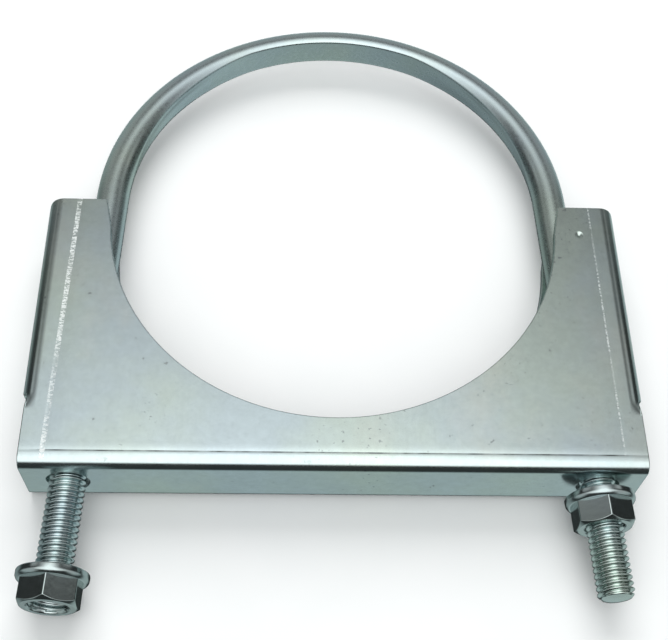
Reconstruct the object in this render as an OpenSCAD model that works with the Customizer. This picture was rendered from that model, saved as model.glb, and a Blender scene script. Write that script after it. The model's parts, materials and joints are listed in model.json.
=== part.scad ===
// U-bolt saddle clamp for a 5 inch pipe, lying on its back.
// Origin: centre of the pipe seat, halfway between the two saddle plates.
// +X right, +Y towards the top of the arch, +Z up, out of the front plate along the pipe.

/* [Pipe] */
// Outside diameter of the pipe that the clamp holds
pipe_d = 127; // [120:0.5:135]

/* [Saddle] */
// Thickness of the folded sheet
sheet_t = 3; // [2.5:0.1:3.2]
// Overall width across the two folded side walls
saddle_w = 164; // [163.6:0.1:165]
// Overall depth across the front and rear plates
saddle_depth = 21; // [20.5:0.1:22]
// Distance from the pipe's axis down to the outer face of the bottom web
web_drop = 77.6; // [77:0.1:79]
// Height of the plates' top edges above the pipe's axis
plate_rise = 5.1; // [4:0.1:7]
// Width of the plates and of the web below the side walls
lower_w = 161; // [160:0.1:161.8]
// Distance from the pipe's axis down to the end of the side walls
side_wall_drop = 56.2; // [50:0.1:60]
// Outer radius of the bends between the plates and the web
web_bend_r = 3.4; // [3.3:0.1:4]
// Outer radius of the bends between the plates and the side walls
side_bend_r = 4; // [3.5:0.1:4.5]
// Gap of the seam where the front and rear halves of a side wall meet
seam_gap = 0.8; // [0.4:0.1:1.5]
// How far the seat's edge leans outwards at the top of each plate
lead_in = 2; // [1:0.1:2.4]
// Diameter of the two holes in the web
web_hole_d = 11.1; // [11:0.1:12]

/* [U-bolt] */
// Diameter of the rod, which is the major diameter of a 3/8-16 thread
rod_d = 9.525; // [9.5:0.005:9.55]
// Depth that is pressed flat along the inside of the arch
flat_depth = 2.6; // [2:0.1:3]
// Height of the arch's centre above the pipe's axis while the nuts are loose
arch_raise = 10.7; // [9:0.1:12]
// Angle by which each leg spreads outwards
splay = 2.15; // [1.8:0.05:2.3]
// Length of each leg, from the end of the arch to its tip
leg_l = 120.9; // [118:0.1:124]
// Length of the pressed flat that runs on down each leg
leg_flat_l = 30; // [28:1:36]
// Length over which the pressed flat fades out into the round leg
flat_fade_l = 12; // [8:1:16]
// Chamfer on the tip of each leg
tip_chamfer = 0.9; // [0.5:0.1:1.2]

/* [Flange nuts] */
// Width across the flats of the hexagon, 9/16 inch
hex_af = 14.29; // [14:0.01:14.4]
// Height of the whole nut
nut_h = 8.7; // [8.3:0.1:9]
// Diameter of the flange
flange_d = 18.3; // [18:0.1:19]
// Thickness of the flange at its rim
flange_rim = 1.6; // [1.4:0.1:1.8]
// Height of the sloping shoulder on top of the flange
flange_slope = 1; // [0.6:0.1:1.2]
// Diameter of the flat on top of the flange, around the hexagon
flange_top_d = 16.8; // [16.6:0.1:17.4]
// Radial running clearance between the bore and the leg
thread_gap = 0.04; // [0.02:0.01:0.08]
// Distance along the leg from the end of the arch to the left nut's flange
left_nut_at = 115.2; // [112:0.1:116]
// Distance along the leg from the end of the arch to the right nut's flange
right_nut_at = 94; // [92:0.1:98]

/* [Hidden] */
$fn = 96;

LEFT = -1;
RIGHT = 1;
pipe_r = pipe_d / 2;
rod_r = rod_d / 2;
// distance from the rod's centre line to the pressed flat
flat_at = rod_r - flat_depth;
// the pressed flat touches the pipe, so it sets the bend radius of the rod's centre line
arch_r = pipe_r + flat_at;
// each leg leaves the arch along its tangent, this far above the arch's centre
leg_start_x = arch_r * cos(splay);
leg_start_y = arch_raise + arch_r * sin(splay);
// the legs' distance from the middle where they pass through the web
web_mid_y = sheet_t / 2 - web_drop;
leg_at_web_x = leg_start_x + (leg_start_y - web_mid_y) * tan(splay);
// the leaning end of the seat's edge starts inside the pipe's space, this far below its axis
lead_in_drop = 9;
// and this far in from the pipe's surface
lead_in_inset = 1.5;
// cuts run this far past the surfaces that they open
past = 1;
nut_bore_r = rod_r + thread_gap;
hex_corner_r = hex_af / sqrt(3);
// the hexagon's corners are rounded off by a cone at the nut's outer end
corner_cut_h = 1;
corner_cut_r = hex_af / 2 - 0.3;
bore_chamfer = 0.7;

// ---- saddle: one blank, folded into a channel with side walls ----

// Outline of a plate between its bends; everything is symmetric about the Y axis
module plate_outline() {
    flat_half = saddle_w / 2 - side_bend_r;
    low_half = lower_w / 2;
    bend_y = web_bend_r - web_drop;
    polygon([
        [-low_half, bend_y],
        [low_half, bend_y],
        [low_half, -side_wall_drop],
        [flat_half, -side_wall_drop],
        [flat_half, plate_rise],
        [-flat_half, plate_rise],
        [-flat_half, -side_wall_drop],
        [-low_half, -side_wall_drop]
    ]);
}

// Rectangle with rounded corners, centred
module rounded_rect(w, h, r) {
    union() {
        square([w - 2 * r, h], center = true);
        square([w, h - 2 * r], center = true);
        for (x = [-1, 1], y = [-1, 1])
            translate([x * (w / 2 - r), y * (h / 2 - r)]) circle(r = r);
    }
}

// Sheet that follows a rounded rectangle, as a closed loop
module sheet_loop(w, h, r) {
    difference() {
        rounded_rect(w, h, r);
        rounded_rect(w - 2 * sheet_t, h - 2 * sheet_t, r - sheet_t);
    }
}

// Both side walls with their bends: the ends of a sheet loop seen along Y
module side_walls() {
    length = side_wall_drop + plate_rise;
    bend_start = saddle_w / 2 - side_bend_r;
    rotate([90, 0, 0])
        translate([0, 0, -plate_rise])
            linear_extrude(height = length)
                difference() {
                    sheet_loop(saddle_w, saddle_depth, side_bend_r);
                    square([2 * bend_start, saddle_depth + 2 * past], center = true);
                    square([saddle_w + 2 * past, seam_gap], center = true);
                }
}

// Web with the two bends that join it to the plates, extruded along X
module web() {
    h = 2 * web_drop;
    rotate([90, 0, 90])
        linear_extrude(height = lower_w, center = true)
            intersection() {
                sheet_loop(h, saddle_depth, web_bend_r);
                translate([-web_drop - past, -saddle_depth / 2 - past])
                    square([web_bend_r + past, saddle_depth + 2 * past]);
            }
}

// Space of the pipe, cut out of both plates; its edge leans straight outwards near the top
module seat_cut() {
    depth = saddle_depth + 2 * past;
    low_x = pipe_r - lead_in_inset;
    top_x = pipe_r + lead_in;
    cylinder(h = depth, r = pipe_r, center = true);
    linear_extrude(height = depth, center = true)
        polygon([
            [-low_x, -lead_in_drop],
            [low_x, -lead_in_drop],
            [top_x, plate_rise + past],
            [-top_x, plate_rise + past]
        ]);
}

module web_hole(side) {
    translate([side * leg_at_web_x, web_mid_y, 0])
        rotate([90, 0, 0])
            cylinder(h = sheet_t + 2 * past, d = web_hole_d, center = true);
}

module saddle() {
    color([0.80, 0.84, 0.83])
        difference() {
            union() {
                for (z = [-saddle_depth / 2, saddle_depth / 2 - sheet_t])
                    translate([0, 0, z])
                        linear_extrude(height = sheet_t)
                            plate_outline();
                side_walls();
                web();
            }
            seat_cut();
            for (side = [LEFT, RIGHT]) web_hole(side);
        }
}

// ---- U-bolt: a rod bent to an arch, pressed flat inside, with two threaded legs ----

// Puts its children on a leg: origin at the arch's end, +Z along the leg to the tip, +X outwards
module on_leg(side) {
    mirror([side == LEFT ? 1 : 0, 0, 0])
        translate([leg_start_x, leg_start_y, 0])
            rotate([0, 0, splay])
                rotate([90, 0, 0])
                    children();
}

// Section of the pressed rod: a circle cut flat on its -X side, centred on the rod
module pressed_section() {
    intersection() {
        circle(r = rod_r);
        translate([-flat_at, -rod_r - past]) square([rod_d + past, rod_d + 2 * past]);
    }
}

// Bent part of the rod, with its inside pressed flat
module arch() {
    translate([0, arch_raise, 0])
        rotate([0, 0, splay])
            rotate_extrude(angle = 180 - 2 * splay)
                translate([arch_r, 0]) pressed_section();
}

// Wedge that the fading flat takes off the round part of a leg
module flat_fade() {
    rotate([90, 0, 0])
        linear_extrude(height = rod_d + 2 * past, center = true)
            polygon([
                [-flat_at, leg_flat_l - past],
                [-flat_at, leg_flat_l],
                [-rod_r, leg_flat_l + flat_fade_l],
                [-rod_r - past, leg_flat_l + flat_fade_l],
                [-rod_r - past, leg_flat_l - past]
            ]);
}

// Straight leg: pressed at first, then round to its chamfered tip
module leg() {
    linear_extrude(height = leg_flat_l) pressed_section();
    difference() {
        union() {
            translate([0, 0, leg_flat_l])
                cylinder(h = leg_l - tip_chamfer - leg_flat_l, r = rod_r);
            translate([0, 0, leg_l - tip_chamfer])
                cylinder(h = tip_chamfer, r1 = rod_r, r2 = rod_r - tip_chamfer);
        }
        flat_fade();
    }
}

module u_bolt() {
    color([0.74, 0.79, 0.80])
        union() {
            arch();
            for (side = [LEFT, RIGHT]) on_leg(side) leg();
        }
}

// ---- flange nuts: hexagon and flange in one piece ----

// Nut with its flange face at the origin and its hexagon towards +Z; a corner faces +Y
module flange_nut() {
    difference() {
        union() {
            intersection() {
                rotate([0, 0, 90]) cylinder(h = nut_h, r = hex_corner_r, $fn = 6);
                union() {
                    cylinder(h = nut_h - corner_cut_h, r = hex_corner_r + past);
                    translate([0, 0, nut_h - corner_cut_h])
                        cylinder(h = corner_cut_h, r1 = hex_corner_r, r2 = corner_cut_r);
                }
            }
            cylinder(h = flange_rim, d = flange_d);
            translate([0, 0, flange_rim])
                cylinder(h = flange_slope, d1 = flange_d, d2 = flange_top_d);
        }
        translate([0, 0, -past]) cylinder(h = nut_h + 2 * past, r = nut_bore_r);
        translate([0, 0, nut_h - bore_chamfer])
            cylinder(h = 2 * bore_chamfer, r1 = nut_bore_r, r2 = nut_bore_r + 2 * bore_chamfer);
        translate([0, 0, -bore_chamfer])
            cylinder(h = 2 * bore_chamfer, r1 = nut_bore_r + 2 * bore_chamfer, r2 = nut_bore_r);
    }
}

module left_flange_nut() {
    color([0.62, 0.67, 0.68])
        on_leg(LEFT) translate([0, 0, left_nut_at]) flange_nut();
}

module right_flange_nut() {
    color([0.62, 0.67, 0.68])
        on_leg(RIGHT) translate([0, 0, right_nut_at]) flange_nut();
}

saddle();
u_bolt();
left_flange_nut();
right_flange_nut();
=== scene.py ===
import json
import math

import bmesh
import bpy
from mathutils import Matrix, Vector


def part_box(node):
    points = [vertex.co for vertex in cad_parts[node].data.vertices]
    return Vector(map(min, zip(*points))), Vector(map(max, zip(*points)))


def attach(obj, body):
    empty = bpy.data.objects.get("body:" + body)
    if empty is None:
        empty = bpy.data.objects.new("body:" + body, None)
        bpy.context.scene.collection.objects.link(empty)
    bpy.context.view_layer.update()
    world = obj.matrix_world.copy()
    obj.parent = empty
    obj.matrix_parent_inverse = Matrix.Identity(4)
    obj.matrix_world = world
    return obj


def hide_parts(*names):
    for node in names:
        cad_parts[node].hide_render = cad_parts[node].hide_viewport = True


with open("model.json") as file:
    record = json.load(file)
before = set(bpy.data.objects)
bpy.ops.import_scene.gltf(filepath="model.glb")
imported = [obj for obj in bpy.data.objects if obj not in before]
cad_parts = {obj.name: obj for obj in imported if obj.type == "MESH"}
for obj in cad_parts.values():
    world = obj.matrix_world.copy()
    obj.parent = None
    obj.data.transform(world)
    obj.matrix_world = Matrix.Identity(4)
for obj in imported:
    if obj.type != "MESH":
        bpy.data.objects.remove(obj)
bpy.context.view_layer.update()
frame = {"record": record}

MM = 0.001
# The two sides of the clamp, as signs of x.
LEFT = -1
RIGHT = 1

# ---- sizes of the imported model, in metres ----
SADDLE_LOW, SADDLE_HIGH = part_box("saddle")
MOUNTS = {mount["name"]: mount for mount in frame["record"]["mounts"]}
PIPE_R = MOUNTS["pipe_seat"]["dims"]["r_mm"] * MM
FRONT_Z = SADDLE_HIGH.z
WEB_Y = SADDLE_LOW.y
PLATE_TOP_Y = SADDLE_HIGH.y
WALL_X = SADDLE_HIGH.x

SHEET_T = 3.0 * MM
LOWER_HALF = 80.5 * MM
SIDE_WALL_END_Y = -56.2 * MM
WEB_BEND_R = 3.4 * MM
SIDE_BEND_R = 4.6 * MM
SEAM_HALF_GAP = 0.4 * MM
WEB_HOLE_R = 5.55 * MM
LEAD_IN_LOW = (62.0 * MM, -9.0 * MM)
LEAD_IN_TOP = (65.5 * MM, 6.1 * MM)

ROD_R = 4.7625 * MM
FLAT_AT = ROD_R - 2.6 * MM
ARCH_R = PIPE_R + FLAT_AT
ARCH_RAISE = 10.7 * MM
SPLAY = math.radians(2.15)
LEG_L = 120.9 * MM
TIP_CHAMFER = 0.9 * MM
LEG_START_X = ARCH_R * math.cos(SPLAY)
LEG_START_Y = ARCH_RAISE + ARCH_R * math.sin(SPLAY)

HEX_APOTHEM = 7.145 * MM
HEX_CORNER_R = HEX_APOTHEM / math.cos(math.radians(30))
NUT_H = 8.7 * MM
FLANGE_R = 9.15 * MM
FLANGE_RIM = 1.7 * MM
FLANGE_SLOPE = 0.8 * MM
FLANGE_TOP_R = 8.4 * MM
CORNER_CUT_H = 1.0 * MM
CORNER_CUT_R = HEX_APOTHEM - 0.3 * MM
NUT_BORE_R = ROD_R + 0.04 * MM
BORE_CHAMFER = 0.7 * MM
LEFT_NUT_AT = 115.2 * MM
RIGHT_NUT_AT = 94.0 * MM

# ---- details that only the looks have ----
ARC_STEP = math.radians(2.0)
BEND_STEPS = 10
EDGE_ROUND = 0.3 * MM
EDGE_ROUND_STEPS = 3
SHARP_ANGLE = math.radians(40)
NORMAL_WEIGHT = 60
WELD_DISTANCE = 0.0005 * MM

# The side bend and wall: the slope of the tab's top, the slant of the wall's lower end, and the fade.
SIDE_TOP_SLOPE = 1.3 * MM
SIDE_END_SLANT = 0.9 * MM
SIDE_BEND_FADE_L = 5.0 * MM
SIDE_BEND_FADE_STEPS = 6
BEND_START_X = WALL_X - SIDE_BEND_R
STEP_ANGLE = math.asin((LOWER_HALF - BEND_START_X) / SIDE_BEND_R)

# The plate's slight curve above the web bend, and the folding die's line across it.
WEB_ONSET_L = 3.0 * MM
WEB_ONSET_DROP = 0.1 * MM
PLATE_LOW_Y = WEB_Y + WEB_BEND_R + WEB_ONSET_L
DIE_LINE_SHARE = 0.76
DIE_LINE_HALF_SHARE = 0.11
DIE_LINE_DEPTH = 0.05 * MM
DIE_LINE_DARK_HALF = 0.26 * MM

# The folding die's mark down each plate: a shallow groove between four lines.
DIE_MARK_LOW_X = 74.3 * MM
DIE_MARK_TOP_X = {LEFT: 72.9 * MM, RIGHT: 74.0 * MM}
DIE_MARK_HALF = {LEFT: 0.7 * MM, RIGHT: 0.4 * MM}
DIE_MARK_DEPTH = {LEFT: 0.05 * MM, RIGHT: 0.015 * MM}
DIE_MARK_OFFSETS = (-1.0, -0.6, 0.6, 1.0)
DIE_MARK_INSIDE = 0.8

# The punch mark: its place, and its rings as (radius, depth).
PUNCH_AT = (70.4 * MM, -4.6 * MM)
PUNCH_RINGS = ((1.25 * MM, 0.0), (1.0 * MM, 0.06 * MM), (0.45 * MM, 0.5 * MM))
PUNCH_BOTTOM = 0.6 * MM
PUNCH_SIDES = 24

# The rod's section: points on half of the flat, on each rounded edge and on the round.
SECTION_HALF_FLAT = 6
SECTION_CORNER = 5
SECTION_ARC = 73
SECTION_N = 2 * SECTION_HALF_FLAT + 2 * SECTION_CORNER + SECTION_ARC + 1
SHANK_STEPS = 6
FLAT_CORNER = 0.4 * MM
FLAT_CORNER_SHARE = 0.4
FLAT_FULL_ANGLE = math.radians(66)
FLAT_GONE_ANGLE = math.radians(11)

# The rolled thread, as shares of one pitch, and the leg's end face.
PITCH = 25.4 / 16 * MM
THREAD_DEPTH = 0.9 * MM
THREAD_L = 48.0 * MM
THREAD_RUN_OUT = 2.0 * PITCH
THREAD_STEPS = (0.0, 0.05, 0.1, 0.2, 0.3, 0.38, 0.46, 0.54, 0.62, 0.7, 0.8, 0.9, 0.95)
THREAD_CREST_HALF = 0.03
THREAD_FLANK = 0.4
TIP_DISH = 0.08 * MM
TIP_DISH_SHARES = (1.0, 0.85, 0.4)

# The nut: its bore's thread, its hexagon's corners, and the rounding length of each edge.
BORE_THREAD_R = NUT_BORE_R + 0.02 * MM
BORE_THREAD_DEPTH = 0.42 * MM
HEX_FILLET = 0.45 * MM
HEX_OFFSETS = (-20, -13, -7, -3.2, -1.7, -1.1, -0.5, 0, 0.5, 1.1, 1.7, 3.2, 7, 13, 20, 30)
FIRST_CORNER = 30
MOUTH_LOW_EDGE = 0.1 * MM
FLANGE_LOW_EDGE = 0.35 * MM
FLANGE_RIM_EDGE = 0.5 * MM
FLANGE_TOP_EDGE = 0.3 * MM
HEX_FOOT_EDGE = 0.07 * MM
HEX_TOP_EDGE = 0.12 * MM
CHAMFER_EDGE = 0.15 * MM
MOUTH_TOP_EDGE = 0.12 * MM
EDGE_POINTS = 5


# ---- mesh helpers ----

def mesh_object(name, bm):
    """A new object that holds the bmesh, linked to the scene."""
    mesh = bpy.data.meshes.new(name)
    bm.normal_update()
    bm.to_mesh(mesh)
    bm.free()
    obj = bpy.data.objects.new(name, mesh)
    bpy.context.scene.collection.objects.link(obj)
    return obj


def apply_modifiers(obj):
    """Puts the result of the modifiers into the mesh and removes them."""
    depsgraph = bpy.context.evaluated_depsgraph_get()
    result = bpy.data.meshes.new_from_object(obj.evaluated_get(depsgraph))
    old = obj.data
    obj.modifiers.clear()
    obj.data = result
    bpy.data.meshes.remove(old)


def smooth_shade(obj):
    """Smooth shading that keeps the large faces flat."""
    for polygon in obj.data.polygons:
        polygon.use_smooth = True
    weighted = obj.modifiers.new("Weighted_Normal", "WEIGHTED_NORMAL")
    weighted.mode = "FACE_AREA"
    weighted.weight = NORMAL_WEIGHT
    apply_modifiers(obj)


def weld(bm):
    """Merges vertices that lie on each other and drops what that flattens."""
    bmesh.ops.remove_doubles(bm, verts=bm.verts, dist=WELD_DISTANCE)
    bmesh.ops.dissolve_degenerate(bm, edges=bm.edges, dist=WELD_DISTANCE)


def face(bm, points):
    """A polygon through the points, with vertices of its own until the weld."""
    return bm.faces.new([bm.verts.new(point) for point in points])


def grid(bm, rows, closed):
    """Quads between neighbouring rows of points; closed joins each row's ends."""
    verts = [[bm.verts.new(point) for point in row] for row in rows]
    count = len(rows[0])
    last = count if closed else count - 1
    for low, high in zip(verts, verts[1:]):
        for i in range(last):
            k = (i + 1) % count
            bm.faces.new((low[i], low[k], high[k], high[i]))


def fan(bm, ring, centre):
    """Triangles from a closed ring of points to a centre."""
    hub = bm.verts.new(centre)
    verts = [bm.verts.new(point) for point in ring]
    for i, vert in enumerate(verts):
        bm.faces.new((vert, verts[(i + 1) % len(verts)], hub))


def lerp(a, b, t):
    """The value between a and b at share t."""
    return a + (b - a) * t


def smoothstep(t):
    """A soft step from 0 to 1 while t goes from 0 to 1."""
    t = min(max(t, 0.0), 1.0)
    return t * t * (3 - 2 * t)


def bezier(a, corner, b, steps):
    """Points of the quadratic curve from a to b that rounds the corner."""
    points = []
    for i in range(steps):
        t = i / (steps - 1)
        left = [lerp(p, q, t) for p, q in zip(a, corner)]
        right = [lerp(p, q, t) for p, q in zip(corner, b)]
        points.append(tuple(lerp(p, q, t) for p, q in zip(left, right)))
    return points


def toward(a, b, distance):
    """The point at that distance from a towards b, at most half way."""
    length = math.dist(a, b)
    share = min(distance / length, 0.5) if length > 0 else 0.0
    return tuple(lerp(p, q, share) for p, q in zip(a, b))


# ---- saddle ----

def die_mark_lines(side, middle_x):
    """The four x of a die mark's shallow groove whose middle is at that x."""
    return [middle_x + offset * DIE_MARK_HALF[side] for offset in DIE_MARK_OFFSETS]


def seat_edge():
    """The right half of a plate's seat edge, from the bottom middle to its top corner, as (x, y)."""
    slope = (LEAD_IN_TOP[0] - LEAD_IN_LOW[0]) / (LEAD_IN_TOP[1] - LEAD_IN_LOW[1])
    points = []
    angle = 0.0
    while True:
        x = PIPE_R * math.sin(angle)
        y = -PIPE_R * math.cos(angle)
        if x < LEAD_IN_LOW[0] + slope * (y - LEAD_IN_LOW[1]) and y > LEAD_IN_LOW[1]:
            break
        points.append((x, y))
        angle += ARC_STEP
    top_x = LEAD_IN_LOW[0] + slope * (PLATE_TOP_Y - LEAD_IN_LOW[1])
    points.append((top_x, PLATE_TOP_Y))
    return points


def punch_ring(radius):
    """Points of a ring round the punch mark, from its lowest point up its right side."""
    steps = range(PUNCH_SIDES)
    angles = [2 * math.pi * i / PUNCH_SIDES - math.pi / 2 for i in steps]
    return [
        (PUNCH_AT[0] + radius * math.cos(a), PUNCH_AT[1] + radius * math.sin(a))
        for a in angles
    ]


def front(points, depth=0.0):
    """The (x, y) points on the front plate's face, or that deep below it."""
    return [(x, y, FRONT_Z - depth) for x, y in points]


def plate_middle(bm, punched):
    """The plate between the two punch lines, with half of the punch mark in its edge."""
    edge = seat_edge()
    left = [(-x, y) for x, y in reversed(edge[1:])]
    line_x = PUNCH_AT[0]
    right_side = [(line_x, PLATE_TOP_Y), (line_x, PLATE_LOW_Y)]
    if punched:
        half = PUNCH_SIDES // 2
        ring = punch_ring(PUNCH_RINGS[0][0])
        left_arc = ring[half:] + ring[:1]
        right_side[1:1] = left_arc
    left_side = [(-line_x, PLATE_LOW_Y), (-line_x, PLATE_TOP_Y)]
    outline = left + edge + right_side + left_side
    face(bm, front(reversed(outline)))


def bend_point(side, angle, y, share=1.0):
    """A point of the side bend at that angle; share flattens the bend from 1, fully formed, to 0."""
    x = BEND_START_X + SIDE_BEND_R * math.sin(angle)
    z = FRONT_Z - SIDE_BEND_R * (1 - math.cos(angle)) * share
    return side * x, y, z


def bend_angles():
    """Angles of the side bend from the plate to the step below the wall."""
    return [STEP_ANGLE * i / BEND_STEPS for i in range(BEND_STEPS + 1)]


def bend_rows():
    """Heights between which the side bend flattens, from the flat plate up to the wall's lower end."""
    step_y = SIDE_WALL_END_Y - SIDE_END_SLANT
    steps = SIDE_BEND_FADE_STEPS
    return [step_y - SIDE_BEND_FADE_L * (1 - i / steps) for i in range(steps + 1)]


def inner_strip(side, punched, line_top_x, line_low_x):
    """The strip from the punch line out to the die mark, as (x, y)."""
    inner = [(PUNCH_AT[0], PLATE_LOW_Y)]
    if punched and side == RIGHT:
        half = PUNCH_SIDES // 2
        inner += punch_ring(PUNCH_RINGS[0][0])[: half + 1]
    inner.append((PUNCH_AT[0], PLATE_TOP_Y))
    return inner + [(line_top_x, PLATE_TOP_Y), (line_low_x, PLATE_LOW_Y)]


def outer_strip(side, line_top_x, line_low_x):
    """The strip from the die mark out to the side bend, with the bend's own vertices, as (x, y)."""
    ys = bend_rows()
    step_line = [bend_point(side, angle, ys[0], 0.0) for angle in bend_angles()]
    step_line = [(abs(x), y) for x, y, _ in step_line]
    fold_line = [(BEND_START_X, y) for y in ys[1:]]
    low_edge = [(line_low_x, PLATE_LOW_Y), (LOWER_HALF, PLATE_LOW_Y)]
    top_edge = [(BEND_START_X, PLATE_TOP_Y), (line_top_x, PLATE_TOP_Y)]
    return low_edge + list(reversed(step_line)) + fold_line + top_edge


def plate_strips(bm, side, punched):
    """The plate from the punch line out to the side bend, with the die mark's shallow groove."""
    low_x = die_mark_lines(side, DIE_MARK_LOW_X)
    top_x = die_mark_lines(side, DIE_MARK_TOP_X[side])
    faces = [front(reversed(inner_strip(side, punched, top_x[0], low_x[0])))]
    depths = [0.0, DIE_MARK_DEPTH[side], DIE_MARK_DEPTH[side], 0.0]
    for i in range(len(depths) - 1):
        left_z = FRONT_Z - depths[i]
        right_z = FRONT_Z - depths[i + 1]
        faces.append([
            (low_x[i], PLATE_LOW_Y, left_z),
            (low_x[i + 1], PLATE_LOW_Y, right_z),
            (top_x[i + 1], PLATE_TOP_Y, right_z),
            (top_x[i], PLATE_TOP_Y, left_z),
        ])
    faces.append(front(outer_strip(side, top_x[-1], low_x[-1])))
    for points in faces:
        if side == LEFT:
            points = [(-x, y, z) for x, y, z in reversed(points)]
        face(bm, points)


def strip_ends():
    """The x of every line that crosses the plate down to the web bend."""
    right = [PUNCH_AT[0]] + die_mark_lines(RIGHT, DIE_MARK_LOW_X)
    left = [PUNCH_AT[0]] + die_mark_lines(LEFT, DIE_MARK_LOW_X)
    return [-LOWER_HALF] + [-x for x in reversed(left)] + right + [LOWER_HALF]


def groove_depth(x):
    """How deep the die marks are at that x, on the lines of strip_ends."""
    side = LEFT if x < 0 else RIGHT
    inside = abs(abs(x) - DIE_MARK_LOW_X) < DIE_MARK_INSIDE * DIE_MARK_HALF[side]
    return DIE_MARK_DEPTH[side] if inside else 0.0


def onset_rows(xs):
    """Rows of the plate's slight curve above the web bend, with the die line pressed into it."""
    line_start = DIE_LINE_SHARE - DIE_LINE_HALF_SHARE
    line_end = DIE_LINE_SHARE + DIE_LINE_HALF_SHARE
    rows = []
    for share in (0.0, line_start / 2, line_start, DIE_LINE_SHARE, line_end):
        line = DIE_LINE_DEPTH if share == DIE_LINE_SHARE else 0.0
        y = PLATE_LOW_Y - share * WEB_ONSET_L
        z = FRONT_Z - WEB_ONSET_DROP * share ** 2 - line
        rows.append([(x, y, z - groove_depth(x) * (1 - share)) for x in xs])
    return rows


def bend_web_rows(xs):
    """Rows of the quarter bend from the plate to the web."""
    tangent_y = WEB_Y + WEB_BEND_R
    bend_top_z = FRONT_Z - WEB_ONSET_DROP
    bend_drop = WEB_BEND_R - WEB_ONSET_DROP
    rows = []
    for i in range(BEND_STEPS + 1):
        angle = math.pi / 2 * i / BEND_STEPS
        y = tangent_y - WEB_BEND_R * math.sin(angle)
        z = bend_top_z - bend_drop * (1 - math.cos(angle))
        rows.append([(x, y, z) for x in xs])
    return rows


def web_bend(bm):
    """The slight curve and die line above the front bend, the bend, and half of the web."""
    xs = strip_ends()
    rows = onset_rows(xs) + bend_web_rows(xs)
    rows = [list(reversed(row)) for row in rows]
    grid(bm, rows, closed=False)
    web_half(bm, xs)


def web_half(bm, xs):
    """Half of the web: a face from the bend down to z = 0, notched by both holes."""
    hole_x = LEG_START_X + (LEG_START_Y - WEB_Y - SHEET_T / 2) * math.tan(SPLAY)
    arc = []
    steps = 2 * BEND_STEPS
    for i in range(steps + 1):
        angle = math.pi * i / steps
        arc.append((hole_x - WEB_HOLE_R * math.cos(angle), WEB_HOLE_R * math.sin(angle)))
    low_edge = [(-LOWER_HALF, 0.0)]
    low_edge += [(-x, z) for x, z in reversed(arc)]
    low_edge += arc
    low_edge.append((LOWER_HALF, 0.0))
    top_z = FRONT_Z - WEB_BEND_R
    outline = low_edge + [(x, top_z) for x in reversed(xs)]
    face(bm, [(x, WEB_Y, z) for x, z in outline])


def top_y(angle):
    """Height of the tab's top edge over the side bend at that angle."""
    return PLATE_TOP_Y - SIDE_TOP_SLOPE * (angle / (math.pi / 2)) ** 3


def wall_low_y(angle):
    """Height of the side wall's slanted lower end over the bend at that angle."""
    share = (angle - STEP_ANGLE) / (math.pi / 2 - STEP_ANGLE)
    return SIDE_WALL_END_Y - SIDE_END_SLANT + SIDE_END_SLANT * smoothstep(share)


def inner_bend(side):
    """Columns up the inner part of the side bend, which flattens below the wall."""
    ys = bend_rows()
    shares = [smoothstep((y - ys[0]) / SIDE_BEND_FADE_L) for y in ys]
    columns = []
    for angle in bend_angles():
        column = [bend_point(side, angle, y, share) for y, share in zip(ys, shares)]
        columns.append(column + [bend_point(side, angle, top_y(angle))])
    return columns


def outer_bend(side):
    """Columns up the outer part of the side bend, and down the wall to the seam."""
    columns = []
    for i in range(BEND_STEPS + 1):
        angle = lerp(STEP_ANGLE, math.pi / 2, i / BEND_STEPS)
        low = bend_point(side, angle, wall_low_y(angle))
        columns.append([low, bend_point(side, angle, top_y(angle))])
    seam_x = side * WALL_X
    low_y = wall_low_y(math.pi / 2)
    high_y = PLATE_TOP_Y - SIDE_TOP_SLOPE
    columns.append([(seam_x, low_y, SEAM_HALF_GAP), (seam_x, high_y, SEAM_HALF_GAP)])
    return columns


def side_wall(bm, side):
    """The side bend and its half of the wall."""
    for columns in (inner_bend(side), outer_bend(side)):
        if side == LEFT:
            columns = [list(reversed(column)) for column in columns]
        grid(bm, columns, closed=False)


def punch_mark(bm):
    """The rings that sink into the plate at the punch mark."""
    rows = [front(punch_ring(radius), depth) for radius, depth in PUNCH_RINGS]
    grid(bm, rows, closed=True)
    fan(bm, rows[-1], (PUNCH_AT[0], PUNCH_AT[1], FRONT_Z - PUNCH_BOTTOM))


def saddle_half(punched):
    """The front half of the sheet's outer surface."""
    bm = bmesh.new()
    plate_middle(bm, punched)
    for side in (LEFT, RIGHT):
        plate_strips(bm, side, punched)
        side_wall(bm, side)
    web_bend(bm)
    if punched:
        punch_mark(bm)
    return bm


def saddle_surface():
    """Both halves of the sheet's outer surface, welded along the web."""
    bm = saddle_half(punched=True)
    rear = saddle_half(punched=False)
    for rear_face in rear.faces:
        points = [(v.co.x, v.co.y, -v.co.z) for v in reversed(rear_face.verts)]
        face(bm, points)
    rear.free()
    weld(bm)
    bmesh.ops.recalc_face_normals(bm, faces=bm.faces)
    return bm


def mark_bevels(obj):
    """Gives a bevel weight to the sheet's sharp edges."""
    bm = bmesh.new()
    bm.from_mesh(obj.data)
    layer = bm.edges.layers.float.new("bevel_weight_edge")
    for edge in bm.edges:
        if len(edge.link_faces) != 2:
            continue
        if edge.calc_face_angle() > SHARP_ANGLE:
            edge[layer] = 1.0
    bm.to_mesh(obj.data)
    bm.free()


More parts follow.
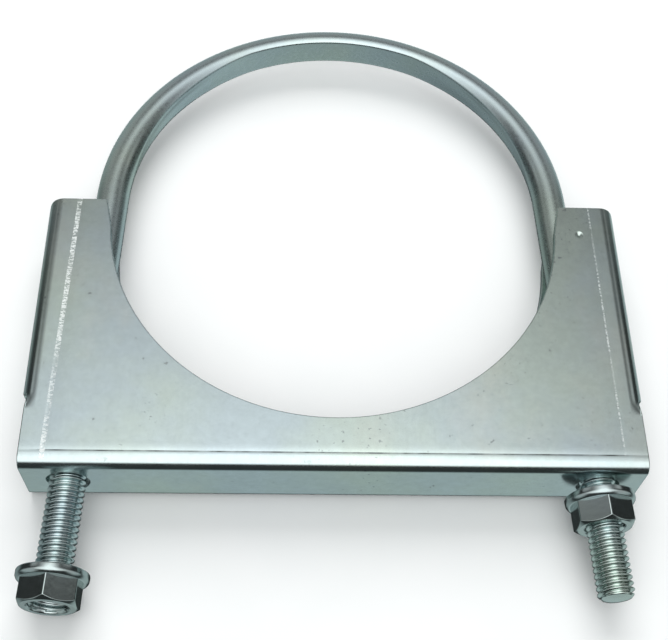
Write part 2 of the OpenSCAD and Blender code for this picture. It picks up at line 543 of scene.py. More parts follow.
def build_saddle():
    """The folded sheet: its outer surface, given its thickness inwards and rounded edges."""
    obj = mesh_object("saddle_sheet", saddle_surface())
    solid = obj.modifiers.new("Sheet", "SOLIDIFY")
    solid.thickness = SHEET_T
    solid.offset = -1
    solid.use_even_offset = True
    solid.use_quality_normals = True
    apply_modifiers(obj)
    mark_bevels(obj)
    bevel = obj.modifiers.new("Edges", "BEVEL")
    bevel.limit_method = "WEIGHT"
    bevel.width = EDGE_ROUND
    bevel.segments = EDGE_ROUND_STEPS
    bevel.use_clamp_overlap = False
    apply_modifiers(obj)
    smooth_shade(obj)
    return obj


# ---- U-bolt ----

def leg_frame(side):
    """Origin at the arch's end, and the outward, sideways and tip directions of a leg."""
    origin = Vector((side * LEG_START_X, LEG_START_Y, 0))
    outward = Vector((side * math.cos(SPLAY), math.sin(SPLAY), 0))
    tip = Vector((side * math.sin(SPLAY), -math.cos(SPLAY), 0))
    return origin, outward, tip.cross(outward), tip


def d_section(flat):
    """A pressed section with rounded edges, as (angle, radius) from the middle of the flat round to it."""
    half_width = math.sqrt(max(ROD_R ** 2 - flat ** 2, 0.0))
    corner = min(FLAT_CORNER, FLAT_CORNER_SHARE * half_width)
    corner_angle = math.pi - math.atan2(half_width, flat)
    arc_end = corner_angle - corner / ROD_R
    on_arc = (ROD_R * math.cos(arc_end), ROD_R * math.sin(arc_end))
    on_flat = (-flat, half_width - corner)
    half = []
    for i in range(SECTION_ARC // 2 + 1):
        angle = arc_end * i / (SECTION_ARC // 2 + 1)
        half.append((ROD_R * math.cos(angle), ROD_R * math.sin(angle)))
    half += bezier(on_arc, (-flat, half_width), on_flat, SECTION_CORNER + 1)
    for i in range(1, SECTION_HALF_FLAT + 1):
        half.append((-flat, on_flat[1] * (1 - i / SECTION_HALF_FLAT)))
    polar = [(math.atan2(y, x), math.hypot(x, y)) for x, y in half]
    mirrored = [(-angle, radius) for angle, radius in reversed(polar[1:-1])]
    return mirrored + polar


def round_section(count):
    """A round section of that many points, as (angle, radius)."""
    return [(-math.pi + 2 * math.pi * (i + 1) / count, ROD_R) for i in range(count)]


def cut_radius(angle, flat):
    """Radius of the rod at that angle, with the flat cut off it."""
    away = -math.cos(angle)
    return min(ROD_R, flat / away) if away > 0 else ROD_R


def fading_section(share):
    """The section while the flat fades out: share is 0 at full depth and 1 where the rod is round."""
    flat = lerp(FLAT_AT, ROD_R, share)
    pressed = d_section(flat)
    plain = round_section(len(pressed))
    blend = smoothstep(share)
    points = []
    for (angle, radius), (even, _) in zip(pressed, plain):
        mixed = lerp(angle, even, blend)
        points.append((mixed, lerp(radius, cut_radius(mixed, flat), blend)))
    return points


def place_ring(section, centre, outward, sideways):
    """The section's points round the centre."""
    return [
        centre + outward * (radius * math.cos(angle)) + sideways * (radius * math.sin(angle))
        for angle, radius in section
    ]


def flat_share(angle):
    """How far the flat has faded at that angle of the arch: 0 over the crown, 1 towards the legs."""
    from_end = min(angle, math.pi - angle)
    share = (FLAT_FULL_ANGLE - from_end) / (FLAT_FULL_ANGLE - FLAT_GONE_ANGLE)
    return min(max(share, 0.0), 1.0)


def arch_rows():
    """Rings round the arch, from the right leg to the left one."""
    steps = round((math.pi - 2 * SPLAY) / ARC_STEP)
    rows = []
    for i in range(steps + 1):
        angle = lerp(SPLAY, math.pi - SPLAY, i / steps)
        outward = Vector((math.cos(angle), math.sin(angle), 0))
        centre = outward * ARCH_R + Vector((0, ARCH_RAISE, 0))
        section = fading_section(flat_share(angle))
        rows.append(place_ring(section, centre, outward, Vector((0, 0, 1))))
    return rows


def shank_rows(side):
    """Rings down the round part of a leg, to where the thread starts."""
    origin, outward, sideways, tip = leg_frame(side)
    section = fading_section(1.0)
    rows = []
    for i in range(SHANK_STEPS + 1):
        distance = (LEG_L - THREAD_L) * i / SHANK_STEPS
        rows.append(place_ring(section, origin + tip * distance, outward, sideways))
    return rows


def leg_place(side, distance):
    """A function from (angle, radius, along) to a point round a leg, counted from that distance down it."""
    leg_origin, outward, sideways, tip = leg_frame(side)
    origin = leg_origin + tip * distance

    def point(angle, radius, along):
        ring = outward * (radius * math.cos(angle)) + sideways * (radius * math.sin(angle))
        return origin + ring + tip * along

    return point


def thread_profile(share):
    """Depth of the rolled thread across one pitch, 0 on the crest and 1 in the root."""
    from_crest = min(share, 1 - share)
    return smoothstep((from_crest - THREAD_CREST_HALF) / THREAD_FLANK)


def helix(bm, angles, low, high, radius_at, point):
    """A helical surface of one closed section per pitch between two flat ends."""
    turns = math.ceil((high - low) / PITCH) + 2
    per_turn = len(THREAD_STEPS)
    count = len(angles)
    rows = []
    for turn in range(-1, turns + 1):
        for share in THREAD_STEPS:
            row = []
            for angle in angles:
                raw = low + PITCH * (turn + share + angle / (2 * math.pi))
                along = min(max(raw, low), high)
                row.append(bm.verts.new(point(angle, radius_at(share, along), along)))
            rows.append(row)
    for r in range(len(rows) - per_turn - 1):
        for i in range(count):
            step = per_turn if i + 1 == count else 0
            k = (i + 1) % count
            bm.faces.new((rows[r][i], rows[r + step][k], rows[r + step + 1][k], rows[r + 1][i]))


def leg_radius(share, along):
    """Radius of a leg's threaded end at that share of a pitch and that distance down the leg."""
    if along >= LEG_L:
        return ROD_R - TIP_CHAMFER
    fade = smoothstep((along - (LEG_L - THREAD_L)) / THREAD_RUN_OUT)
    radius = ROD_R - THREAD_DEPTH * thread_profile(share) * fade
    return min(radius, ROD_R - TIP_CHAMFER + (LEG_L - along))


def leg_thread(bm, side):
    """The threaded end of a leg, with its chamfered tip and slightly dished end face."""
    point = leg_place(side, 0.0)
    tip_r = ROD_R - TIP_CHAMFER
    angles = sorted(angle % (2 * math.pi) for angle, _ in round_section(SECTION_N - 1))
    helix(bm, angles, LEG_L - THREAD_L, LEG_L, leg_radius, point)
    end = []
    for share in TIP_DISH_SHARES:
        along = LEG_L - TIP_DISH * (1 - share)
        end.append([point(angle, tip_r * share, along) for angle in angles])
    grid(bm, end, closed=True)
    fan(bm, end[-1], point(0.0, 0.0, LEG_L - TIP_DISH))


def build_u_bolt():
    """The bent rod with both threaded ends, as one closed surface."""
    bm = bmesh.new()
    grid(bm, arch_rows(), closed=True)
    for side in (LEFT, RIGHT):
        grid(bm, shank_rows(side), closed=True)
        leg_thread(bm, side)
    weld(bm)
    bmesh.ops.recalc_face_normals(bm, faces=bm.faces)
    obj = mesh_object("threaded_u_bolt", bm)
    smooth_shade(obj)
    return obj


# ---- flange nuts ----

def hex_angles():
    """Angles round a nut, close together at the hexagon's corners."""
    angles = []
    for corner in range(6):
        for offset in HEX_OFFSETS:
            angles.append(math.radians((FIRST_CORNER + 60 * corner + offset) % 360))
    return sorted(angles)


def hex_radius(angle):
    """Radius of the hexagon with rounded corners."""
    sixth = math.pi / 3
    off = (angle - math.radians(FIRST_CORNER) + sixth / 2) % sixth - sixth / 2
    centre = (HEX_APOTHEM - HEX_FILLET) / math.cos(sixth / 2)
    limit = math.atan2(HEX_FILLET * math.sin(sixth / 2), centre + HEX_FILLET * math.cos(sixth / 2))
    if abs(off) < limit:
        return centre * math.cos(off) + math.sqrt(HEX_FILLET ** 2 - (centre * math.sin(off)) ** 2)
    return HEX_APOTHEM / math.cos(sixth / 2 - abs(off))


def nut_profile(angle):
    """The nut's outline at that angle as (radius, height), from the bore over the outside and back."""
    hexagon = hex_radius(angle)
    base_z = FLANGE_RIM + FLANGE_SLOPE
    cut = (HEX_CORNER_R - CORNER_CUT_R) / CORNER_CUT_H
    cut_z = NUT_H - CORNER_CUT_H + (HEX_CORNER_R - hexagon) / cut
    mouth_r = NUT_BORE_R + BORE_CHAMFER
    corners = [
        (NUT_BORE_R, BORE_CHAMFER, 0.0),
        (mouth_r, 0.0, MOUTH_LOW_EDGE),
        (FLANGE_R, 0.0, FLANGE_LOW_EDGE),
        (FLANGE_R, FLANGE_RIM, FLANGE_RIM_EDGE),
        (FLANGE_TOP_R, base_z, FLANGE_TOP_EDGE),
        (hexagon, base_z, HEX_FOOT_EDGE),
        (hexagon, cut_z, HEX_TOP_EDGE),
        (CORNER_CUT_R, NUT_H, CHAMFER_EDGE),
        (mouth_r, NUT_H, MOUTH_TOP_EDGE),
        (NUT_BORE_R, NUT_H - BORE_CHAMFER, 0.0),
    ]
    return rounded_profile(corners)


def rounded_profile(corners):
    """Replaces each corner that has a rounding length with a short curve."""
    points = [corners[0][:2]]
    for before, here, after in zip(corners, corners[1:], corners[2:]):
        start = toward(here[:2], before[:2], here[2])
        end = toward(here[:2], after[:2], here[2])
        points += bezier(start, here[:2], end, EDGE_POINTS)
    points.append(corners[-1][:2])
    return points


def bore_radius(share, along):
    """Radius of the nut's bore at that share of a pitch, with grooves between its chamfers."""
    if along <= BORE_CHAMFER or along >= NUT_H - BORE_CHAMFER:
        return NUT_BORE_R
    return BORE_THREAD_R + BORE_THREAD_DEPTH * thread_profile(share)


def build_nut(name, side, distance):
    """A flange nut on its leg, with grooves of a right-hand thread in its bore."""
    point = leg_place(side, distance)
    angles = hex_angles()
    profiles = [nut_profile(angle) for angle in angles]
    rows = []
    for i in range(len(profiles[0])):
        rows.append([point(angle, *profile[i]) for angle, profile in zip(angles, profiles)])
    bm = bmesh.new()
    grid(bm, rows, closed=True)
    helix(bm, angles, BORE_CHAMFER, NUT_H - BORE_CHAMFER, bore_radius, point)
    weld(bm)
    bmesh.ops.recalc_face_normals(bm, faces=bm.faces)
    obj = mesh_object(name, bm)
    smooth_shade(obj)
    return obj


# ---- materials ----

def add_node(tree, kind, inputs=None, **settings):
    """A node with its settings, and its inputs set to values or linked to sockets."""
    made = tree.nodes.new(kind)
    for key, value in settings.items():
        setattr(made, key, value)
    for key, value in (inputs or {}).items():
        if isinstance(value, bpy.types.NodeSocket):
            tree.links.new(value, made.inputs[key])
        else:
            made.inputs[key].default_value = value
    return made


def stretched(tree, position, scale):
    """The position scaled by a different amount along each axis."""
    made = add_node(tree, "ShaderNodeVectorMath", {0: position, 1: scale}, operation="MULTIPLY")
    return made.outputs["Vector"]


def noise(tree, position, scale, detail, roughness=0.55):
    """A noise value at the position."""
    inputs = {"Vector": position, "Scale": scale, "Detail": detail, "Roughness": roughness}
    return add_node(tree, "ShaderNodeTexNoise", inputs).outputs["Fac"]


def remap(tree, value, low, high, to_low=0.0, to_high=1.0):
    """The value's range from low to high carried over to another range, and held at its ends."""
    inputs = {"Value": value, "From Min": low, "From Max": high, "To Min": to_low, "To Max": to_high}
    return add_node(tree, "ShaderNodeMapRange", inputs, clamp=True).outputs["Result"]


def calc(tree, operation, a, b):
    """The result of a math node."""
    return add_node(tree, "ShaderNodeMath", {0: a, 1: b}, operation=operation).outputs["Value"]


def absolute(tree, value):
    """The value without its sign."""
    return calc(tree, "ABSOLUTE", value, 0.0)


def product(tree, first, *others):
    """All the factors multiplied together."""
    result = first
    for factor in others:
        result = calc(tree, "MULTIPLY", result, factor)
    return result


def mix_colour(tree, factor, a, b):
    """Colour a where the factor is 0 and colour b where it is 1."""
    made = add_node(tree, "ShaderNodeMix", {"Factor": factor}, data_type="RGBA")
    colour_inputs = [socket for socket in made.inputs if socket.type == "RGBA"]
    for socket, value in zip(colour_inputs, (a, b)):
        if isinstance(value, bpy.types.NodeSocket):
            tree.links.new(value, socket)
        else:
            socket.default_value = value
    return [socket for socket in made.outputs if socket.type == "RGBA"][0]


def new_material(name):
    """A material with its node tree, its shader and the object's own coordinates."""
    material = bpy.data.materials.new(name)
    material.use_nodes = True
    tree = material.node_tree
    shader = tree.nodes["Principled BSDF"]
    position = add_node(tree, "ShaderNodeTexCoord").outputs["Object"]
    return material, tree, shader, position


def split(tree, vector):
    """The X, Y and Z outputs of a vector."""
    axes = add_node(tree, "ShaderNodeSeparateXYZ", {"Vector": vector})
    return axes.outputs["X"], axes.outputs["Y"], axes.outputs["Z"]


def bump(tree, shader, height, strength, distance):
    """Links the height to the shader as fine relief."""
    made = add_node(tree, "ShaderNodeBump", {"Height": height, "Strength": strength, "Distance": distance})
    tree.links.new(made.outputs["Normal"], shader.inputs["Normal"])


ZINC_COOL = (0.565, 0.655, 0.685, 1.0)
ZINC_GREEN = (0.60, 0.69, 0.635, 1.0)
ZINC_WARM = (0.74, 0.735, 0.66, 1.0)
ZINC_DARK = (0.30, 0.335, 0.335, 1.0)
# Near-white flecks on the die marks: a painted glint.
ZINC_PAINTED_GLINT = (0.93, 0.96, 0.95, 1.0)
ZINC_LINE = (0.10, 0.11, 0.11, 1.0)

# Noise scales, in waves per metre, and the directions in which some are stretched.
BROAD_SCALE = 26.0
WARM_SCALE = 34.0
WARM_STRETCH = (1.0, 0.6, 1.0)
STREAK_SCALE = 2200.0
STREAK_STRETCH = (1.0, 0.012, 1.0)
FINE_SCALE = 2600.0
MOTTLE_SCALE = 420.0
SCUFF_SCALE = 48.0
SPECK_SCALE = 760.0
LONE_SPECK_SCALE = 420.0
CLOUD_SCALE = 60.0
WEAR_SCALE = 160.0
WEAR_STRETCH = (1.0, 0.0, 0.0)
SPARKLE_SCALE = 1500.0
SPARKLE_STRETCH = (0.5, 1.3, 1.0)
GAP_SCALE = 70.0
ROD_SPECK_SCALE = 600.0
ROD_GRAIN_SCALE = 900.0
NUT_GRAIN_SCALE = 700.0
FLOOR_SCALE = 40.0

# Ramps, as (value at the start, value at the end, result at the start, result at the end).
BROAD_RAMP = (0.38, 0.62, 0.0, 1.0)
WARM_RAMP = (0.56, 0.72, 0.0, 0.35)
MOTTLE_RAMP = (0.3, 0.7, 0.0, 0.2)
SCUFF_RAMP = (0.56, 0.66, 0.0, 1.0)
SPECK_RAMP = (0.64, 0.70, 0.0, 1.0)
LONE_SPECK_RAMP = (0.735, 0.78, 0.0, 1.0)
CLOUD_RAMP = (0.35, 0.65, -0.02, 0.04)
SHEET_ROUGHNESS = (0.3, 0.7, 0.16, 0.21)
WEAR_RAMP = (0.35, 0.6, 0.45, 1.0)
LINE_END_RAMP = (LOWER_HALF - 9.0 * MM, LOWER_HALF - 2.0 * MM, 1.0, 0.15)
SPARKLE_EDGE_RAMP = (0.75, 1.1, 1.0, 0.0)
SPARKLE_RAMP = (0.42, 0.56, 0.1, 1.0)
GAP_RAMP = (0.36, 0.52, 0.3, 0.72)
ROD_SPECK_RAMP = (0.75, 0.80, 0.0, 1.0)
ROD_ROUGHNESS = (0.3, 0.7, 0.12, 0.2)
THREAD_RAMP = (-66.0 * MM, -60.0 * MM, 0.0, 1.0)
NUT_ROUGHNESS = (0.3, 0.7, 0.13, 0.2)
FLOOR_RAMP = (0.3, 0.7, 0.0, 1.0)

# How strong each effect is.
SPECK_SHARE = 0.75
ROD_SPECK_SHARE = 0.5
NUT_DARK_SHARE = 0.35
SPARKLE_MATT = 0.8
SPARKLE_ROUGHER = 0.25
SPARKLE_HEIGHT = 2.5
STREAK_HEIGHT = 0.5
FINE_HEIGHT = 0.5
SPARKLE_RIGHT_SHARE = 0.6
LINE_DARK_CORE = 0.4
BARE_ROUGHER = 0.12
SHEET_BUMP = (0.2, 0.02 * MM)
ROD_BUMP = (0.2, 0.03 * MM)
NUT_BUMP = (0.25, 0.04 * MM)
PLATE_MARK_Z = FRONT_Z - 0.5 * MM


def zinc_colour(tree, position):
    """Cool zinc with green and faint warm patches."""
    broad = remap(tree, noise(tree, position, BROAD_SCALE, detail=4.0), *BROAD_RAMP)
    colour = mix_colour(tree, broad, ZINC_COOL, ZINC_GREEN)
    patch = noise(tree, stretched(tree, position, WARM_STRETCH), WARM_SCALE, detail=5.0)
    return mix_colour(tree, remap(tree, patch, *WARM_RAMP), colour, ZINC_WARM)


def dark_specks(tree, position):
    """Small dark spots: many in a few scuffed places, and some alone."""
    scuffed = remap(tree, noise(tree, position, SCUFF_SCALE, detail=2.0), *SCUFF_RAMP)
    many = remap(tree, noise(tree, position, SPECK_SCALE, detail=2.0), *SPECK_RAMP)
    alone = remap(tree, noise(tree, position, LONE_SPECK_SCALE, detail=2.0), *LONE_SPECK_RAMP)
    return calc(tree, "MAXIMUM", product(tree, many, scuffed), alone)


def sheet_colour(tree, position, scuff_and_glint):
    """The sheet's colour: mottled zinc with specks, the dark die line, and the scuffed die marks with
    near-white flecks painted on as glints.
    """
    mottle = noise(tree, position, MOTTLE_SCALE, detail=5.0, roughness=0.7)
    colour = zinc_colour(tree, position)
    colour = mix_colour(tree, remap(tree, mottle, *MOTTLE_RAMP), colour, ZINC_DARK)
    specks = product(tree, dark_specks(tree, position), SPECK_SHARE)
    colour = mix_colour(tree, specks, colour, ZINC_DARK)
    colour = mix_colour(tree, die_line(tree, position), colour, ZINC_LINE)
    # The die marks' flecks painted near-white: a painted glint.
    return mix_colour(tree, scuff_and_glint, colour, ZINC_PAINTED_GLINT)


def zinc_sheet():
    """Satin zinc on the folded sheet: brushed along the plates, with die marks whose flecks are painted
    near-white as glints, and small nicks.
    """
    material, tree, shader, position = new_material("zinc_sheet")
    # The die marks' scuff mask: real scuffing in metallic, roughness and bump, and a painted glint in the
    # colour.
    scuff_and_glint = die_scuff_and_painted_glint(tree, position)
    tree.links.new(sheet_colour(tree, position, scuff_and_glint), shader.inputs["Base Color"])
    metallic = calc(tree, "SUBTRACT", 1.0, product(tree, scuff_and_glint, SPARKLE_MATT))
    tree.links.new(metallic, shader.inputs["Metallic"])
    brushed = stretched(tree, position, STREAK_STRETCH)
    streaks = noise(tree, brushed, STREAK_SCALE, detail=4.0, roughness=0.7)
    cloudy = remap(tree, noise(tree, position, CLOUD_SCALE, detail=4.0), *CLOUD_RAMP)
    rough = calc(tree, "ADD", remap(tree, streaks, *SHEET_ROUGHNESS), cloudy)
    rough = calc(tree, "ADD", rough, product(tree, scuff_and_glint, SPARKLE_ROUGHER))
    tree.links.new(rough, shader.inputs["Roughness"])
    fine = noise(tree, position, FINE_SCALE, detail=3.0, roughness=0.6)
    height = calc(tree, "ADD", product(tree, streaks, STREAK_HEIGHT), product(tree, fine, FINE_HEIGHT))
    height = calc(tree, "ADD", height, product(tree, scuff_and_glint, SPARKLE_HEIGHT))
    bump(tree, shader, height, *SHEET_BUMP)
    return material


def by_side(tree, right, left_value, right_value):
    """One value on the left half of the clamp and another on the right half."""
    return remap(tree, right, 0.0, 1.0, left_value, right_value)


def on_plates(tree, z):
    """1 on the outer faces of the front and rear plates, and 0 elsewhere."""
    return calc(tree, "GREATER_THAN", absolute(tree, z), PLATE_MARK_Z)


def die_line(tree, position):
    """The dark line that the folding die leaves above the front bend, as a mask that fades at both ends."""
    x, y, z = split(tree, position)
    line_y = PLATE_LOW_Y - DIE_LINE_SHARE * WEB_ONSET_L
    offset = absolute(tree, calc(tree, "SUBTRACT", y, line_y))
    across = remap(tree, offset, LINE_DARK_CORE * DIE_LINE_DARK_HALF, DIE_LINE_DARK_HALF, 1.0, 0.0)
    ends = remap(tree, absolute(tree, x), *LINE_END_RAMP)
    worn = noise(tree, stretched(tree, position, WEAR_STRETCH), WEAR_SCALE, detail=3.0)
    worn = remap(tree, worn, *WEAR_RAMP)
    return product(tree, product(tree, across, ends), product(tree, worn, on_plates(tree, z)))


def die_mark_offset(tree, x, y, right):
    """How far a point is from the middle of the die mark on its side, in half widths of the mark."""
    top_x = by_side(tree, right, DIE_MARK_TOP_X[LEFT], DIE_MARK_TOP_X[RIGHT])
    height = remap(tree, y, PLATE_LOW_Y, PLATE_TOP_Y)
    lean = product(tree, height, calc(tree, "SUBTRACT", top_x, DIE_MARK_LOW_X))
    middle = calc(tree, "ADD", lean, DIE_MARK_LOW_X)
    offset = absolute(tree, calc(tree, "SUBTRACT", absolute(tree, x), middle))
    half = by_side(tree, right, DIE_MARK_HALF[LEFT], SPARKLE_RIGHT_SHARE * DIE_MARK_HALF[RIGHT])
    return calc(tree, "DIVIDE", offset, half)


def die_scuff_and_painted_glint(tree, position):
    """The scuffed stripe that the folding die leaves down each plate, as a mask; its flecks are painted
    near-white as glints, while its matt, rough and raised parts are real scuffing.
    """
    x, y, z = split(tree, position)
    right = calc(tree, "GREATER_THAN", x, 0.0)
    inside = remap(tree, die_mark_offset(tree, x, y, right), *SPARKLE_EDGE_RAMP)
    drawn_out = stretched(tree, position, SPARKLE_STRETCH)
    flecks = noise(tree, drawn_out, SPARKLE_SCALE, detail=2.0, roughness=0.6)
    gaps = remap(tree, noise(tree, position, GAP_SCALE, detail=3.0), *GAP_RAMP)
    gaps = product(tree, gaps, by_side(tree, right, 1.0, SPARKLE_RIGHT_SHARE))
    return product(tree, inside, remap(tree, flecks, *SPARKLE_RAMP), gaps, on_plates(tree, z))


def zinc_rod():
    """Zinc on the bent rod: grainy along the arch and smoother on the threads."""
    material, tree, shader, position = new_material("zinc_rod")
    colour = zinc_colour(tree, position)
    specks = remap(tree, noise(tree, position, ROD_SPECK_SCALE, detail=2.0), *ROD_SPECK_RAMP)
    colour = mix_colour(tree, product(tree, specks, ROD_SPECK_SHARE), colour, ZINC_DARK)
    tree.links.new(colour, shader.inputs["Base Color"])
    shader.inputs["Metallic"].default_value = 1.0
    grain = noise(tree, position, ROD_GRAIN_SCALE, detail=4.0, roughness=0.65)
    _, y, _ = split(tree, position)
    bare = remap(tree, y, *THREAD_RAMP)
    rough = calc(tree, "ADD", remap(tree, grain, *ROD_ROUGHNESS), product(tree, bare, BARE_ROUGHER))
    tree.links.new(rough, shader.inputs["Roughness"])
    bump(tree, shader, grain, *ROD_BUMP)
    return material


def zinc_nut():
    """Glossier and darker zinc on the nuts."""
    material, tree, shader, position = new_material("zinc_nut")
    colour = mix_colour(tree, NUT_DARK_SHARE, zinc_colour(tree, position), ZINC_DARK)
    tree.links.new(colour, shader.inputs["Base Color"])
    shader.inputs["Metallic"].default_value = 1.0
    grain = noise(tree, position, NUT_GRAIN_SCALE, detail=4.0, roughness=0.6)
    tree.links.new(remap(tree, grain, *NUT_ROUGHNESS), shader.inputs["Roughness"])
    bump(tree, shader, grain, *NUT_BUMP)
    return material


FLOOR_DARKER = (0.86, 0.87, 0.87, 1.0)
FLOOR_PALER = (0.88, 0.885, 0.885, 1.0)
FLOOR_ROUGHNESS = 0.9
FLOOR_SPECULAR = 0.1


def floor_material():
    """A pale matt floor."""
    material, tree, shader, position = new_material("pale_floor")
    shade = remap(tree, noise(tree, position, FLOOR_SCALE, detail=4.0), *FLOOR_RAMP)
    tree.links.new(mix_colour(tree, shade, FLOOR_DARKER, FLOOR_PALER), shader.inputs["Base Color"])
    shader.inputs["Roughness"].default_value = FLOOR_ROUGHNESS
    shader.inputs["Specular IOR Level"].default_value = FLOOR_SPECULAR
    return material


# ---- stage ----

FLOOR_HALF = 3.0
FLOOR_GAP = 0.05 * MM
FILL_PLACE = (0.0, 1.1, 1.3)
FILL_TARGET = (0.0, 0.0, 0.0)
FILL_WIDTH = 1.6
FILL_HEIGHT = 1.2
FILL_ENERGY = 20.0


def build_floor():
    """The pale surface that the clamp lies on, which its reflections leave out."""
    z = SADDLE_LOW.z - FLOOR_GAP
    bm = bmesh.new()
    corners = ((-1, -1), (1, -1), (1, 1), (-1, 1))
    face(bm, [(x * FLOOR_HALF, y * FLOOR_HALF, z) for x, y in corners])
    obj = mesh_object("floor", bm)
    obj.data.materials.append(floor_material())
    obj.visible_glossy = False


def softbox(name, location, target, width, height, energy):
    """An area light that points from its place to the target."""
    data = bpy.data.lights.new(name, "AREA")
    data.shape = "RECTANGLE"
    data.size = width
    data.size_y = height
    data.energy = energy
    obj = bpy.data.objects.new(name, data)
    direction = Vector(target) - Vector(location)
    turn = direction.to_track_quat("-Z", "Y").to_matrix().to_4x4()
    obj.matrix_world = Matrix.Translation(location) @ turn
    bpy.context.scene.collection.objects.link(obj)
    return obj


def build_lights():
    """A soft light from behind for the floor, which stays out of the reflections."""
    fill = softbox("floor_fill", FILL_PLACE, FILL_TARGET, FILL_WIDTH, FILL_HEIGHT, FILL_ENERGY)
    fill.visible_glossy = False


# The studio by direction. Each ramp is (limit, limit, level at the first limit, level at the second).
# Ceiling: fades with y, and ends softly at the left, the right and low down.
SPREAD_RAMP = (-0.25, 0.25, 0.5, 1.0)
CEILING_Y_RAMP = (0.24, 0.66, 1.72, 0.13)
NARROWING_RAMP = (0.33, 0.5, 1.2, 1.0)
CEILING_LEFT_RAMP = (-0.72, -0.13, 0.03, 1.0)
CEILING_RIGHT_RAMP = (0.12, 0.27, 1.0, 0.55)
CEILING_END_RAMP = (0.27, 0.55, 1.0, 0.05)
CEILING_Z_RAMP = (0.42, 0.60, 0.0, 1.0)
# Back wall.
WALL_Y_RAMP = (0.5, 0.68, 0.0, 0.36)
WALL_Z_RAMP = (0.5, 0.75, 1.0, 0.0)
# Table below, whose surface tilts a little with y.
TABLE_TILT = 0.3
TABLE_LEVEL_RAMP = (-0.52, -0.28, 0.5, 0.0)
TABLE_FRONT_RAMP = (-0.96, -0.84, 0.0, 1.0)
TABLE_LEFT_RAMP = (-0.65, -0.1, 0.55, 1.0)
# Lights at both sides, in front and behind.
BESIDE_RAMP = (0.45, 0.7, 0.0, 0.55)
NEAR_Y_RAMP = (-0.2, 0.15, 1.0, 0.0)
NEAR_Z_RAMP = (-0.35, -0.05, 0.0, 1.0)
FAR_Y_RAMP = (0.25, 0.35, 0.0, 1.0)
FAR_FADE_RAMP = (0.44, 0.50, 1.0, 0.45)
FAR_Z_RAMP = (0.34, 0.46, 0.0, 1.0)
STUDIO_GLOW = 0.04


def ceiling_light(tree, x, y, z):
    """A long soft ceiling light."""
    spread = product(tree, x, remap(tree, y, *SPREAD_RAMP))
    along = remap(tree, y, *CEILING_Y_RAMP)
    narrowed = product(tree, spread, remap(tree, y, *NARROWING_RAMP))
    left = remap(tree, narrowed, *CEILING_LEFT_RAMP)
    right = remap(tree, spread, *CEILING_RIGHT_RAMP)
    right = product(tree, right, remap(tree, spread, *CEILING_END_RAMP))
    above = remap(tree, z, *CEILING_Z_RAMP)
    return product(tree, product(tree, along, left), product(tree, right, above))


def table_light(tree, x, y, z):
    """The pale table below, darker to the left."""
    level = calc(tree, "SUBTRACT", z, product(tree, y, TABLE_TILT))
    shown = remap(tree, level, *TABLE_LEVEL_RAMP)
    front_end = remap(tree, level, *TABLE_FRONT_RAMP)
    return product(tree, shown, front_end, remap(tree, x, *TABLE_LEFT_RAMP))


def flank_light(tree, x, y, z):
    """Lights at both sides, one pair in front of the object and one behind it."""
    beside = remap(tree, absolute(tree, x), *BESIDE_RAMP)
    near = product(tree, remap(tree, y, *NEAR_Y_RAMP), remap(tree, z, *NEAR_Z_RAMP))
    far = product(tree, remap(tree, y, *FAR_Y_RAMP), remap(tree, y, *FAR_FADE_RAMP))
    far = product(tree, far, remap(tree, z, *FAR_Z_RAMP))
    return product(tree, beside, calc(tree, "MAXIMUM", near, far))


def studio_light(tree, direction):
    """Brightness of the studio by direction: ceiling, back wall, table and side lights."""
    x, y, z = split(tree, direction)
    wall = product(tree, remap(tree, y, *WALL_Y_RAMP), remap(tree, z, *WALL_Z_RAMP))
    table = calc(tree, "ADD", table_light(tree, x, y, z), STUDIO_GLOW)
    light = calc(tree, "ADD", ceiling_light(tree, x, y, z), table)
    sides = calc(tree, "MAXIMUM", wall, flank_light(tree, x, y, z))
    return calc(tree, "MAXIMUM", light, sides)


BACKDROP = 0.85
TINT_RAMP = (-0.3, 0.5, 0.0, 1.0)
TINT_LOW = (0.84, 1.0, 1.0, 1.0)
TINT_HIGH = (0.98, 1.0, 1.0, 1.0)
WHITE = (1.0, 1.0, 1.0, 1.0)


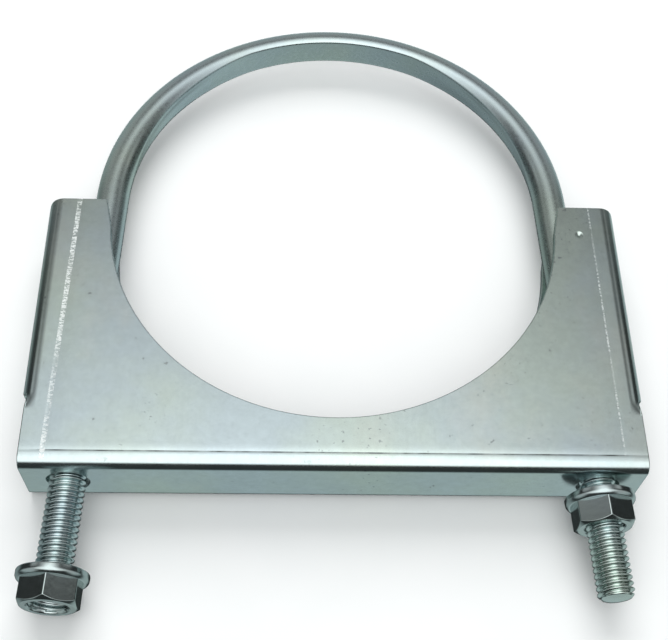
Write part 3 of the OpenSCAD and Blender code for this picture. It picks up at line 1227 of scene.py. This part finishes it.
def build_world():
    """The studio for lighting and reflections; the camera itself sees a pale backdrop."""
    world = bpy.data.worlds.new("studio")
    bpy.context.scene.world = world
    world.use_nodes = True
    tree = world.node_tree
    background = tree.nodes["Background"]
    direction = add_node(tree, "ShaderNodeTexCoord").outputs["Generated"]
    seen = add_node(tree, "ShaderNodeLightPath").outputs["Is Camera Ray"]
    levels = {"Factor": seen, "A": studio_light(tree, direction), "B": BACKDROP}
    strength = add_node(tree, "ShaderNodeMix", levels, data_type="FLOAT")
    tree.links.new(strength.outputs["Result"], background.inputs["Strength"])
    _, _, z = split(tree, direction)
    tint = mix_colour(tree, remap(tree, z, *TINT_RAMP), TINT_LOW, TINT_HIGH)
    tree.links.new(mix_colour(tree, seen, tint, WHITE), background.inputs["Color"])


CAMERA_TARGET = Vector((0.1, -28.1, 0.0)) * MM
CAMERA_DISTANCE = 321.0 * MM
CAMERA_AZIMUTH = math.radians(-4.45)
CAMERA_ELEVATION = math.radians(59.3)
CAMERA_ROLL = math.radians(4.66)
CAMERA_LENS = 61.2
CAMERA_CLIP = 0.01


def build_camera():
    """The camera at the photograph's angle."""
    flat = math.cos(CAMERA_ELEVATION)
    away = Vector((
        math.sin(CAMERA_AZIMUTH) * flat,
        -math.cos(CAMERA_AZIMUTH) * flat,
        math.sin(CAMERA_ELEVATION),
    ))
    level = Vector((math.cos(CAMERA_AZIMUTH), math.sin(CAMERA_AZIMUTH), 0))
    upright = away.cross(level)
    right = level * math.cos(CAMERA_ROLL) + upright * math.sin(CAMERA_ROLL)
    up = away.cross(right)
    data = bpy.data.cameras.new("camera")
    data.lens = CAMERA_LENS
    data.clip_start = CAMERA_CLIP
    obj = bpy.data.objects.new("camera", data)
    turn = Matrix((right, up, away)).transposed().to_4x4()
    obj.matrix_world = Matrix.Translation(CAMERA_TARGET + away * CAMERA_DISTANCE) @ turn
    bpy.context.scene.collection.objects.link(obj)
    bpy.context.scene.camera = obj


# ---- assembly ----

def place(obj, material, body, node):
    """Gives a piece its material, puts it under its body and hides the CAD node it stands for."""
    obj.data.materials.clear()
    obj.data.materials.append(material)
    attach(obj, body)
    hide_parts(node)


def main():
    """Builds every piece and the stage."""
    place(build_saddle(), zinc_sheet(), "saddle", "saddle")
    place(build_u_bolt(), zinc_rod(), "u_bolt", "u_bolt")
    nut_zinc = zinc_nut()
    left_nut = build_nut("left_nut_piece", LEFT, LEFT_NUT_AT)
    place(left_nut, nut_zinc, "left_nut", "left_flange_nut")
    right_nut = build_nut("right_nut_piece", RIGHT, RIGHT_NUT_AT)
    place(right_nut, nut_zinc, "right_nut", "right_flange_nut")
    build_floor()
    build_lights()
    build_world()
    build_camera()
    bpy.context.scene.view_settings.view_transform = "Standard"


main()
